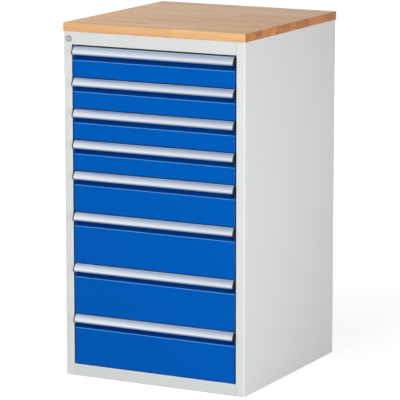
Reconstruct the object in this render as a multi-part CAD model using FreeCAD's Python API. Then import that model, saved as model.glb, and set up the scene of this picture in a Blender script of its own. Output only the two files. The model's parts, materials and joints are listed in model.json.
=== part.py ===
import FreeCAD, Part
import math
import os
from FreeCAD import Vector

# A free-standing sheet steel drawer cabinet: eight drawers on telescopic roller runners,
# a beech worktop, and one cylinder lock that holds all drawers with a vertical bar.
#
# Millimetres. X runs to the right, Y to the back, Z up. The origin is on the floor, under
# the middle of the whole cabinet. A "depth" is a distance behind the front face of the
# steel body, and a "level" is a height above the floor.

# ---- Overall sizes ----
cabinet_width = 580.0
cabinet_depth = 600.0
worktop_thickness = 25.0
worktop_side_overhang = 1.5
worktop_front_overhang = 0.5
worktop_rear_overhang = 1.5
worktop_edge_radius = 1.5

# ---- Drawer heights, from the top drawer down ----
shallow_height = 90.0
shallow_count = 4
middle_height = 120.0
middle_count = 1
deep_height = 150.0
deep_count = 3

# ---- Steel body ----
sheet = 1.0
edge_bend = 1.0
corner_bend = 2.5
post_width = 27.0
post_depth = 24.0
rear_flange = 15.0
top_rail_height = 37.0
bottom_rail_height = 34.0
opening_end_gap = 2.0
back_flange = 12.0
base_height = 30.0
base_foot_width = 18.0
top_flange_height = 15.0
top_flange_inset = 40.0
floor_hole_radius = 4.5
floor_hole_inset = 60.0

# ---- Worktop screws ----
screw_radius = 2.25
screw_hole_gap = 0.25
screw_length = 20.0
screw_head_radius = 4.5
screw_head_height = 2.5
screw_inset = 70.0
screw_rows = 3

# ---- Drawer fronts ----
front_side_gap = 2.5
front_gap = 3.0
front_depth = 20.0
front_edge_bend = 1.0
front_ledge_bend = 2.0
ledge_drop = 43.5
ledge_slope = 1.0
recess_depth = 15.0
recess_bend = 0.8
front_side_lip = 18.0
front_bottom_lip = 10.0
front_top_lip = 6.0
handle_flange = 12.0

# ---- Handles ----
handle_reach = 11.0
handle_wall = 1.8
handle_top_drop = 3.0
handle_top_radius = 3.0
handle_face_radius = 40.0
handle_lip_radius = 5.0
handle_lip_angle = 19.3
handle_lip_return = 2.0
handle_cap = 2.0
handle_cap_side_gap = 0.5
handle_cap_heel = 14.0

# ---- Drawer pans ----
pan_sheet = 0.8
pan_bend = 0.8
pan_length = 540.0
pan_bottom_gap = 6.0
pan_top_gap = 12.0
pan_rim = 6.0

# ---- Runners ----
drawer_travel = 500.0
carriage_share = 0.5
runner_level = 48.0
runner_clearance = 4.3
slide_gap = 0.3
roller_radius = 10.7
roller_gap = 0.3
roller_width = 6.0
roller_end_gap = 0.4
axle_radius = 3.0
axle_gap = 0.05
axle_head_radius = 4.5
axle_head = 0.8
bar_thickness = 2.0
bar_height = 25.0
channel_sheet = 1.2
channel_bend = 0.5
rail_sheet = 1.5
runner_start = 22.0
rail_start = 32.0
rail_length = 540.0
bar_end_gap = 4.0
front_roller_inset = 28.0
roller_split_gap = 10.0
stop_width = 2.0

# ---- Uprights that carry the cabinet rails ----
upright_sheet = 1.2
upright_width = 40.0
upright_front = 55.0
upright_rear = 500.0

# ---- Lock ----
lock_from_side = 17.0
lock_from_top = 20.0
bezel_radius = 9.5
bezel_thickness = 2.5
bezel_edge = 0.8
barrel_radius = 6.5
barrel_length = 20.0
barrel_hole_gap = 0.1
nut_flats = 16.0
nut_thickness = 3.0
nut_gap = 0.05
plug_radius = 4.5
plug_head_radius = 5.8
plug_head = 1.2
plug_gap = 0.05
plug_sink = 0.3
keyway_width = 1.3
keyway_height = 6.5
keyway_depth = 12.0
tang_width = 5.0
cam_thickness = 2.0
cam_gap = 0.3
cam_hub_radius = 5.0
cam_tip_radius = 3.0
cam_pin_radius = 1.5
cam_pin_tail = 0.6
cam_screw_radius = 1.5
cam_screw_length = 8.0
cam_screw_head_radius = 3.4
cam_screw_head = 2.0

# ---- Lock bar ----
bar_lift = 10.0
strip_thickness = 2.0
strip_gap = 0.3
strip_front = 7.0
strip_width = 13.0
strip_foot = 8.0
head_plate_gap = 1.0
head_plate_thickness = 2.0
head_plate_side = 12.0
head_plate_top = 6.0
strip_shoulder = 24.0
strip_neck = 12.0
slot_gap = 0.4
lug_level = 12.0
lug_height = 3.0
lug_front = 10.0
lug_width = 6.0
lug_overlap = 3.0
lug_gap = 1.0
guide_sheet = 1.2
guide_height = 14.0
guide_level = 52.0

# ---- Sizes that follow ----
pitches = shallow_count * [shallow_height] + middle_count * [middle_height] + deep_count * [deep_height]
opening_bottom = bottom_rail_height
opening_top = opening_bottom + sum(pitches) + 2 * opening_end_gap
body_height = opening_top + top_rail_height
front_y = (handle_reach + worktop_front_overhang - cabinet_depth) / 2
back_y = front_y + cabinet_depth - worktop_front_overhang - worktop_rear_overhang
wall_outer = cabinet_width / 2 - worktop_side_overhang
wall_inner = wall_outer - sheet
opening_half = wall_outer - post_width
post_inner = opening_half + sheet
rear_panel_face = back_y - sheet - corner_bend
front_half = opening_half - front_side_gap
cap_outer = front_half - handle_cap_side_gap
handle_half = cap_outer - handle_cap

# The runner is a chain of layers, counted inwards from the cabinet opening.
bar_outer = opening_half - runner_clearance
bar_inner = bar_outer - bar_thickness
channel_depth = channel_sheet + 2 * roller_end_gap + axle_head + roller_width
channel_lip = bar_inner - slide_gap
pan_half = channel_lip - channel_depth
rail_lip = bar_outer + slide_gap
rail_web = rail_lip + 2 * roller_end_gap + axle_head + roller_width
rail_outer = rail_web + rail_sheet
track_half = roller_radius + roller_gap

# Depths of the rollers with the drawer shut: two run in the drawer's channel, in front,
# and two run in the cabinet's rail, behind.
carriage_travel = drawer_travel * carriage_share
rail_end = rail_start + rail_length
bar_start = rail_start + bar_end_gap
bar_end = rail_end - bar_end_gap
drawer_rollers = [
    runner_start + front_roller_inset,
    bar_start + carriage_travel - roller_split_gap / 2,
]
cabinet_rollers = [
    drawer_rollers[1] + 2 * roller_radius + roller_split_gap,
    bar_end - roller_radius - bar_end_gap,
]


# ---- Helpers ----
def depth(distance):
    """The Y of a plane at this distance behind the front face of the steel body."""
    return front_y + distance


def in_space(axis, a, b, along):
    """A point (a, b) of a section across the axis, moved along it."""
    if axis == "x":
        return Vector(along, a, b)
    if axis == "y":
        return Vector(a, along, b)
    return Vector(a, b, along)


def rounded_corner(before, corner, after, radius):
    """Where an arc of this radius starts, passes its middle and ends, at one corner."""
    to_before = (before - corner).normalize()
    to_after = (after - corner).normalize()
    half_angle = to_before.getAngle(to_after) / 2
    reach = radius / math.tan(half_angle)
    centre = corner + (to_before + to_after).normalize() * (radius / math.sin(half_angle))
    middle = centre + (corner - centre).normalize() * radius
    return corner + to_before * reach, middle, corner + to_after * reach


def section_prism(axis, start, end, edges):
    """Close the edges of one section into a face and draw it out along the axis."""
    face = Part.Face(Part.Wire(Part.__sortEdges__(edges)))
    return face.extrude(in_space(axis, 0, 0, end - start))


def outline_prism(axis, start, end, points, radii):
    """A prism whose section is a polygon with its own radius at each corner."""
    corners = [in_space(axis, a, b, start) for a, b in points]
    turns = []
    for index, (corner, radius) in enumerate(zip(corners, radii)):
        after = corners[(index + 1) % len(corners)]
        if radius > 0:
            turns.append(rounded_corner(corners[index - 1], corner, after, radius))
        else:
            turns.append((corner, None, corner))
    edges = []
    for index, (arrive, middle, leave) in enumerate(turns):
        if middle is not None:
            edges.append(Part.Arc(arrive, middle, leave).toShape())
        following = turns[(index + 1) % len(turns)][0]
        edges.append(Part.LineSegment(leave, following).toShape())
    return section_prism(axis, start, end, edges)


def folded_sheet(axis, start, end, path, thickness, bends):
    """Sheet metal folded along a path of its outer face, with the metal on the path's left."""
    steps = [(b[0] - a[0], b[1] - a[1]) for a, b in zip(path, path[1:])]
    lengths = [math.hypot(*step) for step in steps]
    lefts = [(-dy / size, dx / size) for (dx, dy), size in zip(steps, lengths)]
    inner = []
    for index, (a, b) in enumerate(path):
        first = lefts[max(index - 1, 0)]
        second = lefts[min(index, len(lefts) - 1)]
        share = thickness / (1 + first[0] * second[0] + first[1] * second[1])
        inner.append((a + (first[0] + second[0]) * share, b + (first[1] + second[1]) * share))
    outer_radii = [0]
    inner_radii = [0]
    for before, after, bend in zip(steps, steps[1:], bends):
        left_turn = before[0] * after[1] - before[1] * after[0] > 0
        outer_radii.append(bend + thickness if left_turn else bend)
        inner_radii.append(bend if left_turn else bend + thickness)
    outer_radii.append(0)
    inner_radii.append(0)
    return outline_prism(axis, start, end, path + inner[::-1], outer_radii + inner_radii[::-1])


def block(x_range, y_range, z_range):
    """A box between the two ends of each range."""
    low = Vector(min(x_range), min(y_range), min(z_range))
    high = Vector(max(x_range), max(y_range), max(z_range))
    size = high - low
    return Part.makeBox(size.x, size.y, size.z, low)


def rod(radius, centre, direction, length):
    """A cylinder that starts at the centre and runs along the direction."""
    return Part.makeCylinder(radius, length, centre, direction)


def mirrored(shape):
    """The same piece on the other side of the cabinet."""
    return shape.mirror(Vector(0, 0, 0), Vector(1, 0, 0))


def save(name, shapes):
    """Write all solids of one node to its STEP file."""
    solids = [solid for shape in shapes for solid in shape.Solids]
    node = solids[0] if len(solids) == 1 else Part.Compound(solids)
    node.exportStep(os.path.join("parts", name + ".step"))


# ---- Steel body ----
def side_panel():
    """The right wall: front post, outer wall and rear flange, folded from one sheet."""
    path = [
        (opening_half, depth(post_depth)),
        (opening_half, front_y),
        (wall_outer, front_y),
        (wall_outer, back_y),
        (wall_outer - rear_flange, back_y),
    ]
    bends = [edge_bend, corner_bend, corner_bend]
    return folded_sheet("z", 0, body_height, path, sheet, bends)


def lock_side_panel(lock_x, lock_z, lug_levels):
    """The left wall, with the lock's hole and a window in the post for each lug."""
    panel = mirrored(side_panel())
    hole_start = Vector(lock_x, front_y - sheet, lock_z)
    panel = panel.cut(rod(barrel_radius + barrel_hole_gap, hole_start, Vector(0, 1, 0), 3 * sheet))
    for level in lug_levels:
        panel = panel.cut(lug_pocket(level, (-post_inner - sheet, -opening_half + sheet)))
    return panel


def back_panel():
    """The rear wall, laid against the side panels' rear flanges, with a flange at its top."""
    outer = back_y - sheet
    path = [
        (outer, 0),
        (outer, body_height - sheet),
        (outer - back_flange, body_height - sheet),
    ]
    half = wall_inner - corner_bend - sheet
    return folded_sheet("x", -half, half, path, sheet, [edge_bend])


def base_panel():
    """The floor tray: a flat sheet on four walls, with feet turned in along the floor."""
    front = depth(post_depth)
    tray = block((-wall_inner, wall_inner), (front, rear_panel_face), (0, base_height))
    hollow = block(
        (-wall_inner + sheet, wall_inner - sheet),
        (front + sheet, rear_panel_face - sheet),
        (sheet, base_height - sheet),
    )
    mouth = block(
        (-wall_inner + base_foot_width, wall_inner - base_foot_width),
        (front + base_foot_width, rear_panel_face - base_foot_width),
        (-sheet, 2 * sheet),
    )
    tray = tray.cut(hollow).cut(mouth)
    for x in (-wall_inner + floor_hole_inset, wall_inner - floor_hole_inset):
        for y in (front + floor_hole_inset, rear_panel_face - floor_hole_inset):
            start = Vector(x, y, base_height - 2 * sheet)
            tray = tray.cut(rod(floor_hole_radius, start, Vector(0, 0, 1), 3 * sheet))
    return tray


def worktop_screw_places():
    """The screws stand in a row along each side, evenly from front to back."""
    first = depth(post_depth + screw_inset)
    last = rear_panel_face - screw_inset
    step = (last - first) / (screw_rows - 1)
    side = wall_inner - screw_inset
    return [(x, first + row * step) for row in range(screw_rows) for x in (-side, side)]


def top_panel():
    """The sheet that closes the body under the worktop, stiffened by two folded flanges."""
    front = depth(post_depth)
    lid = block((-wall_inner, wall_inner), (front, rear_panel_face), (body_height - sheet, body_height))
    flange_half = opening_half - top_flange_inset
    flange_levels = (body_height - top_flange_height, body_height - sheet)
    lid = lid.fuse(block((-flange_half, flange_half), (front, front + sheet), flange_levels))
    rear = rear_panel_face - back_flange - sheet
    lid = lid.fuse(block((-flange_half, flange_half), (rear - sheet, rear), flange_levels))
    for x, y in worktop_screw_places():
        start = Vector(x, y, body_height - 2 * sheet)
        lid = lid.cut(rod(screw_radius + screw_hole_gap, start, Vector(0, 0, 1), 3 * sheet))
    return lid.removeSplitter()


def front_rail(bottom, top):
    """A channel across the front, between the two posts and flush with them."""
    path = [
        (depth(post_depth), bottom),
        (front_y, bottom),
        (front_y, top),
        (depth(post_depth), top),
    ]
    rail_path = path[::-1]
    return folded_sheet("x", -opening_half, opening_half, rail_path, sheet, [edge_bend, edge_bend])


def worktop():
    """The solid beech top, with softened edges and a pilot hole over each screw."""
    front = front_y - worktop_front_overhang
    half = cabinet_width / 2
    levels = (body_height, body_height + worktop_thickness)
    board = block((-half, half), (front, front + cabinet_depth), levels)
    board = board.makeFillet(worktop_edge_radius, board.Edges)
    for x, y in worktop_screw_places():
        start = Vector(x, y, body_height - sheet)
        board = board.cut(rod(screw_radius, start, Vector(0, 0, 1), screw_length))
    return board


def worktop_screw(x, y):
    """A round-headed wood screw, driven up through the top panel."""
    up = Vector(0, 0, 1)
    underside = body_height - sheet
    shank = rod(screw_radius, Vector(x, y, underside), up, screw_length)
    head = rod(screw_head_radius, Vector(x, y, underside - screw_head_height), up, screw_head_height)
    return shank.fuse(head)


# ---- Drawers ----
def handle_arcs():
    """Centres and angles of the handle's top, face and lip arcs, as reach and drop from its top."""
    lip_angle = math.radians(handle_lip_angle)
    lip_reach = handle_reach - handle_lip_radius
    face_reach = lip_reach - (handle_face_radius - handle_lip_radius) * math.cos(lip_angle)
    top_angle = math.acos(-face_reach / handle_face_radius)
    top_reach = -handle_top_radius * math.cos(top_angle)
    top_drop = -handle_top_radius
    start_drop = top_drop + handle_top_radius * math.sin(top_angle)
    face_drop = start_drop - handle_face_radius * math.sin(top_angle)
    lip_drop = face_drop + (handle_face_radius - handle_lip_radius) * math.sin(lip_angle)
    return [
        (top_reach, top_drop, handle_top_radius, math.pi / 2, top_angle),
        (face_reach, face_drop, handle_face_radius, top_angle, lip_angle),
        (lip_reach, lip_drop, handle_lip_radius, lip_angle, -math.pi / 2),
    ]


def handle_curve(x, top, wall):
    """The three joined arcs of the handle's face, this wall's thickness inside its skin."""

    def point(reach, drop, radius, angle):
        forward = reach + (radius - wall) * math.cos(angle)
        return Vector(x, front_y - forward, top + drop + (radius - wall) * math.sin(angle))

    curve = []
    for reach, drop, radius, start, end in handle_arcs():
        places = [point(reach, drop, radius, angle) for angle in (start, (start + end) / 2, end)]
        curve.append(Part.Arc(*places).toShape())
    return curve, point_of(curve[0], 0), point_of(curve[-1], -1)


def point_of(edge, index):
    """The first or last point of an edge."""
    return edge.Vertexes[index].Point


def polyline(points):
    """Straight edges from each point to the next."""
    return [Part.LineSegment(a, b).toShape() for a, b in zip(points, points[1:])]


def drawer_handle(top):
    """The drawn aluminium grip: a flat back on the front's flange, a curved face and a lip."""
    skin, skin_start, skin_end = handle_curve(-handle_half, top, 0)
    inside, inside_start, inside_end = handle_curve(-handle_half, top, handle_wall)
    lip_back = Vector(0, handle_lip_return, 0)
    rear_y = depth(front_depth)
    back = polyline([
        inside_start,
        Vector(-handle_half, rear_y, inside_start.z),
        Vector(-handle_half, rear_y, skin_start.z),
        skin_start,
    ])
    lip = polyline([skin_end, skin_end + lip_back, inside_end + lip_back, inside_end])
    return section_prism("x", -handle_half, handle_half, skin + inside + back + lip)


def handle_caps(top):
    """The two moulded cheeks that close the ends of the handle."""
    skin, skin_start, skin_end = handle_curve(handle_half, top, 0)
    rear_y = depth(recess_depth)
    heel = polyline([
        skin_end,
        skin_end + Vector(0, handle_lip_return, 0),
        Vector(handle_half, rear_y, top - handle_cap_heel),
        Vector(handle_half, rear_y, top),
        skin_start,
    ])
    cap = section_prism("x", handle_half, cap_outer, skin + heel)
    return [mirrored(cap), cap]


def lug_pocket(level, x_range):
    """Room for one lug through a sheet, over the whole lift of the lock bar."""
    depths = (depth(lug_front - lug_gap), depth(lug_front + lug_width + lug_gap))
    levels = (level + lug_level - lug_gap, level + lug_level + bar_lift + lug_height + lug_gap)
    return block(x_range, depths, levels)


def drawer_front(level, pitch):
    """A hollow front: flat face, ledge, finger recess and the flange that carries the handle."""
    bottom = level + front_gap - handle_top_drop
    ledge = level + pitch - ledge_drop
    top = level + pitch - handle_top_drop - handle_wall
    rear = depth(front_depth)
    recess = depth(recess_depth)
    outline = [
        (rear, bottom),
        (front_y, bottom),
        (front_y, ledge),
        (recess, ledge + ledge_slope),
        (recess, top),
        (rear, top),
    ]
    radii = [0, front_edge_bend + sheet, front_ledge_bend + sheet, recess_bend, 0, 0]
    shell = outline_prism("x", -front_half, front_half, outline, radii)
    inside = [
        (rear - sheet, bottom + sheet),
        (front_y + sheet, bottom + sheet),
        (front_y + sheet, ledge - sheet),
        (recess + sheet, ledge + ledge_slope - sheet),
        (recess + sheet, top - sheet),
        (rear - sheet, top - sheet),
    ]
    inside_radii = [0, front_edge_bend, front_ledge_bend, recess_bend + sheet, 0, 0]
    inner_half = front_half - sheet
    shell = shell.cut(outline_prism("x", -inner_half, inner_half, inside, inside_radii))
    lip_half = front_half - front_side_lip
    mouth_levels = (bottom + front_bottom_lip, top - front_top_lip)
    shell = shell.cut(block((-lip_half, lip_half), (rear - 2 * sheet, rear + sheet), mouth_levels))
    flange = block((-handle_half, handle_half), (recess - handle_flange, recess + sheet), (top - sheet, top))
    shell = shell.fuse(flange)
    # The lock's lug leaves through the slot when the bar is down, and the pocket holds it when up.
    notch_x = (-front_half - sheet, -channel_lip + lug_gap)
    slot_levels = (level + lug_level - lug_gap, level + lug_level + lug_height + lug_gap)
    slot = block(notch_x, (depth(lug_front - lug_gap), rear + sheet), slot_levels)
    return shell.cut(slot).cut(lug_pocket(level, notch_x)).removeSplitter()


def track_stop(side_x, place, level):
    """The tab across a track that a roller runs up against."""
    return block(side_x, (depth(place), depth(place + stop_width)), (level - track_half, level + track_half))


def drawer_channel(level):
    """The right-hand channel on the pan's wall, in which the carriage's front rollers run."""
    outer = track_half + channel_sheet
    path = [
        (channel_lip, level - outer),
        (pan_half, level - outer),
        (pan_half, level + outer),
        (channel_lip, level + outer),
    ]
    ends = (depth(runner_start), depth(front_depth + pan_length))
    channel = folded_sheet("y", ends[0], ends[1], path[::-1], channel_sheet, [channel_bend, channel_bend])
    inside = (pan_half + channel_sheet, channel_lip)
    first = drawer_rollers[0] - roller_radius - roller_gap - stop_width
    last = drawer_rollers[1] + drawer_travel - carriage_travel + roller_radius + roller_gap
    return channel.fuse([track_stop(inside, first, level), track_stop(inside, last, level)])


def pan_end_wall(place, top, bottom):
    """A wall welded inside the tray, with its corners rounded like the folds."""
    half = pan_half - pan_sheet
    outline = [(-half, bottom), (half, bottom), (half, top), (-half, top)]
    return outline_prism("y", depth(place), depth(place + pan_sheet), outline, 4 * [pan_bend])


def drawer_pan(level, pitch):
    """The open tray with turned-in rims, its two end walls and the runner channel on each side."""
    bottom = level + pan_bottom_gap
    top = level + pitch - pan_top_gap
    rim_half = pan_half - pan_rim
    path = [
        (-rim_half, top),
        (-pan_half, top),
        (-pan_half, bottom),
        (pan_half, bottom),
        (pan_half, top),
        (rim_half, top),
    ]
    rear = front_depth + pan_length
    tray = folded_sheet("y", depth(front_depth), depth(rear), path, pan_sheet, 4 * [pan_bend])
    wall_levels = (top - pan_sheet, bottom + pan_sheet)
    front_wall = pan_end_wall(front_depth, *wall_levels)
    rear_wall = pan_end_wall(rear - pan_sheet, *wall_levels)
    channel = drawer_channel(level + runner_level)
    return [tray, front_wall, rear_wall, mirrored(channel), channel]


# ---- Runners ----
def roller_and_axle(place, level, face, outwards):
    """One roller beside the carriage bar, and the headed axle that passes through the bar."""
    direction = Vector(outwards, 0, 0)
    start = Vector(face, depth(place), level)
    roller_start = start + direction * roller_end_gap
    roller = rod(roller_radius, roller_start, direction, roller_width)
    roller = roller.cut(rod(axle_radius + axle_gap, roller_start, direction, roller_width))
    length = roller_end_gap + roller_width + slide_gap
    head = rod(axle_head_radius, start + direction * length, direction, axle_head - slide_gap)
    axle = rod(axle_radius, start - direction * bar_thickness, direction, bar_thickness + length)
    return roller, axle.fuse(head)


def carriage(level):
    """The right-hand intermediate bar of the runner, with its four axles and rollers."""
    levels = (level - bar_height / 2, level + bar_height / 2)
    bar = block((bar_inner, bar_outer), (depth(bar_start), depth(bar_end)), levels)
    pieces = []
    for places, face, outwards in ((drawer_rollers, bar_inner, -1), (cabinet_rollers, bar_outer, 1)):
        for place in places:
            pieces.extend(roller_and_axle(place, level, face, outwards))
            hole_start = Vector(bar_inner, depth(place), level)
            bar = bar.cut(rod(axle_radius, hole_start, Vector(1, 0, 0), bar_thickness))
    return [bar] + pieces


def cabinet_rail(level):
    """The right-hand fixed rail, open inwards, in which the carriage's rear rollers run."""
    outer = track_half + rail_sheet
    path = [
        (rail_lip, level - outer),
        (rail_outer, level - outer),
        (rail_outer, level + outer),
        (rail_lip, level + outer),
    ]
    ends = (depth(rail_start), depth(rail_end))
    rail = folded_sheet("y", ends[0], ends[1], path, rail_sheet, [channel_bend, channel_bend])
    inside = (rail_lip, rail_web)
    first = cabinet_rollers[0] - carriage_travel - roller_radius - roller_gap - stop_width
    last = cabinet_rollers[1] + roller_radius + roller_gap
    return rail.fuse([track_stop(inside, first, level), track_stop(inside, last, level)]).removeSplitter()


def rail_upright(place):
    """A channel that stands against the side wall and carries the ends of all the rails."""
    path = [
        (wall_inner, depth(place)),
        (rail_outer, depth(place)),
        (rail_outer, depth(place + upright_width)),
        (wall_inner, depth(place + upright_width)),
    ]
    return folded_sheet(
        "z", base_height, body_height - sheet, path[::-1], upright_sheet, [edge_bend, edge_bend]
    )


# ---- Lock ----
lock_x = -wall_outer + lock_from_side
lock_z = body_height - lock_from_top
backwards = Vector(0, 1, 0)
cam_front = barrel_length + cam_gap
cam_back = cam_front + cam_thickness
pin_offset = bar_lift / 2
head_plate_front = cam_back + cam_screw_head + head_plate_gap
head_plate_back = head_plate_front + head_plate_thickness
strip_inner = -post_inner - strip_gap
strip_outer = strip_inner - strip_thickness


def lock_point(distance, x_offset=0.0, z_offset=0.0):
    """A point at this depth, beside the lock's axis."""
    return Vector(lock_x + x_offset, depth(distance), lock_z + z_offset)


def lock_housing():
    """The lock's bezel and barrel, bored for the plug and its head."""
    bezel = rod(bezel_radius, lock_point(-bezel_thickness), backwards, bezel_thickness)
    front_edges = [edge for edge in bezel.Edges if abs(edge.CenterOfMass.y - depth(-bezel_thickness)) < 0.1]
    bezel = bezel.makeFillet(bezel_edge, [edge for edge in front_edges if len(edge.Vertexes) == 1])
    housing = bezel.fuse(rod(barrel_radius, lock_point(0), backwards, barrel_length))
    length = bezel_thickness + barrel_length
    housing = housing.cut(rod(plug_radius + plug_gap, lock_point(-bezel_thickness), backwards, length))
    sink = plug_sink + plug_head + plug_gap
    counterbore = rod(plug_head_radius + plug_gap, lock_point(-bezel_thickness), backwards, sink)
    return housing.cut(counterbore)


def lock_nut():
    """The hexagon nut that clamps the lock behind the post."""
    corner = nut_flats / 2 / math.cos(math.pi / 6)
    turns = [math.pi / 6 + side * math.pi / 3 for side in range(6)]
    points = [(lock_x + corner * math.cos(turn), lock_z + corner * math.sin(turn)) for turn in turns]
    nut = outline_prism("y", depth(sheet), depth(sheet + nut_thickness), points, 6 * [0])
    return nut.cut(rod(barrel_radius + nut_gap, lock_point(sheet), backwards, nut_thickness))


def tang(start, end):
    """The square end of the plug, or the hole for it."""
    half = tang_width / 2
    return block((lock_x - half, lock_x + half), (depth(start), depth(end)), (lock_z - half, lock_z + half))


def lock_cylinder():
    """The turning plug: keyed head, round body and square tang for the cam."""
    face = -bezel_thickness + plug_sink
    plug = rod(plug_radius, lock_point(face), backwards, cam_front - face)
    plug = plug.fuse(rod(plug_head_radius, lock_point(face), backwards, plug_head))
    plug = plug.fuse(tang(cam_front, cam_back))
    keyway = block(
        (lock_x - keyway_width / 2, lock_x + keyway_width / 2),
        (depth(face - plug_sink), depth(face + keyway_depth)),
        (lock_z - keyway_height / 2, lock_z + keyway_height / 2),
    )
    screw_hole = rod(cam_screw_radius, lock_point(cam_back - cam_screw_length), backwards, cam_screw_length)
    return plug.cut(keyway).cut(screw_hole).removeSplitter()


def lock_cam():
    """The arm on the plug's tang, whose pin works in the lock bar's slot."""
    tip = lock_point(cam_front, -pin_offset, -pin_offset)
    hub = rod(cam_hub_radius, lock_point(cam_front), backwards, cam_thickness)
    end = rod(cam_tip_radius, tip, backwards, cam_thickness)
    reach = math.hypot(pin_offset, pin_offset)
    arm = Part.makeBox(reach, cam_thickness, 2 * cam_tip_radius)
    arm.translate(Vector(0, 0, -cam_tip_radius))
    arm.rotate(Vector(0, 0, 0), Vector(0, 1, 0), 135)
    arm.translate(lock_point(cam_front))
    pin_length = cam_thickness + head_plate_back - cam_back + cam_pin_tail
    pin = rod(cam_pin_radius, tip, backwards, pin_length)
    return hub.fuse([end, arm, pin]).cut(tang(cam_front, cam_back)).removeSplitter()


def lock_cam_screw():
    """The screw that holds the cam on the tang."""
    shank_start = lock_point(cam_back - cam_screw_length)
    shank = rod(cam_screw_radius, shank_start, backwards, cam_screw_length)
    return shank.fuse(rod(cam_screw_head_radius, lock_point(cam_back), backwards, cam_screw_head))


def lock_bar(levels):
    """The strip behind the left post, its slotted head plate, and a welded lug for each drawer."""
    strip_x = (strip_outer, strip_inner)
    shoulder = lock_z - strip_shoulder
    waist = shoulder - strip_neck
    strip_depths = (depth(strip_front), depth(strip_front + strip_width))
    strip = block(strip_x, strip_depths, (levels[-1] + strip_foot, waist))
    head = block(strip_x, (depth(strip_front), depth(head_plate_back)), (waist, shoulder))
    plate = block(
        (lock_x - head_plate_side, strip_inner),
        (depth(head_plate_front), depth(head_plate_back)),
        (waist, lock_z - pin_offset + head_plate_top),
    )
    play = cam_pin_radius + slot_gap
    slot = block(
        (lock_x - math.hypot(pin_offset, pin_offset) - play, lock_x - pin_offset + play),
        (depth(head_plate_front) - sheet, depth(head_plate_back) + sheet),
        (lock_z - pin_offset - play, lock_z - pin_offset + play),
    )
    pieces = [strip, head.fuse(plate).cut(slot).removeSplitter()]
    lug_depths = (depth(lug_front), depth(lug_front + lug_width))
    for level in levels:
        lug_levels = (level + lug_level, level + lug_level + lug_height)
        pieces.append(block((strip_inner, -front_half + lug_overlap), lug_depths, lug_levels))
    return pieces


def lock_bar_guide(level):
    """A clip on the post's return flange that keeps the lock bar in line."""
    depths = (strip_front - strip_gap, strip_front + strip_width + strip_gap)
    levels = (level + guide_level, level + guide_level + guide_height)
    clip_x = strip_outer - strip_gap
    clip_depths = (depth(depths[0] - guide_sheet), depth(depths[1] + guide_sheet))
    clip = block((clip_x - guide_sheet, -post_inner), clip_depths, levels)
    return clip.cut(block((clip_x, -post_inner), (depth(depths[0]), depth(depths[1])), levels))


# ---- The whole cabinet ----
def drawer_levels():
    """The level of the bottom of each drawer's pitch, from the top drawer down."""
    levels = []
    level = opening_top - opening_end_gap
    for pitch in pitches:
        level -= pitch
        levels.append(level)
    return levels


def save_drawer(number, level, pitch):
    """Write the nodes of one drawer and of its pair of runner carriages."""
    name = "drawer_%d_" % number
    handle_top = level + pitch - handle_top_drop
    right_carriage = carriage(level + runner_level)
    save(name + "front", [drawer_front(level, pitch)])
    save(name + "pan", drawer_pan(level, pitch))
    save(name + "handle", [drawer_handle(handle_top)])
    save(name + "handle_caps", handle_caps(handle_top))
    save(name + "carriage", [mirrored(piece) for piece in right_carriage] + right_carriage)


def save_body(levels):
    """Write the nodes of the fixed steel body and its worktop."""
    save("side_panel_right", [side_panel()])
    save("side_panel_left", [lock_side_panel(lock_x, lock_z, levels)])
    save("back_panel", [back_panel()])
    save("base_panel", [base_panel()])
    save("top_panel", [top_panel()])
    save("front_top_rail", [front_rail(opening_top, body_height)])
    save("front_bottom_rail", [front_rail(0, opening_bottom)])
    save("worktop", [worktop()])
    save("worktop_screws", [worktop_screw(x, y) for x, y in worktop_screw_places()])
    uprights = [rail_upright(upright_front), rail_upright(upright_rear)]
    save("rail_uprights_right", uprights)
    save("rail_uprights_left", [mirrored(upright) for upright in uprights])
    rails = [cabinet_rail(level + runner_level) for level in levels]
    save("cabinet_rails_right", rails)
    save("cabinet_rails_left", [mirrored(rail) for rail in rails])


def save_lock(levels):
    """Write the nodes of the lock, its bar and the bar's guides."""
    save("lock_housing", [lock_housing()])
    save("lock_nut", [lock_nut()])
    save("lock_cylinder", [lock_cylinder()])
    save("lock_cam", [lock_cam()])
    save("lock_cam_screw", [lock_cam_screw()])
    save("lock_bar", lock_bar(levels))
    guided = [levels[0], levels[len(levels) // 2], levels[-1]]
    save("lock_bar_guides", [lock_bar_guide(level) for level in guided])


os.makedirs("parts", exist_ok=True)
all_levels = drawer_levels()
save_body(all_levels)
save_lock(all_levels)
for drawer_number, (drawer_level, drawer_pitch) in enumerate(zip(all_levels, pitches), start=1):
    save_drawer(drawer_number, drawer_level, drawer_pitch)
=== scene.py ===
import json
import math

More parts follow.
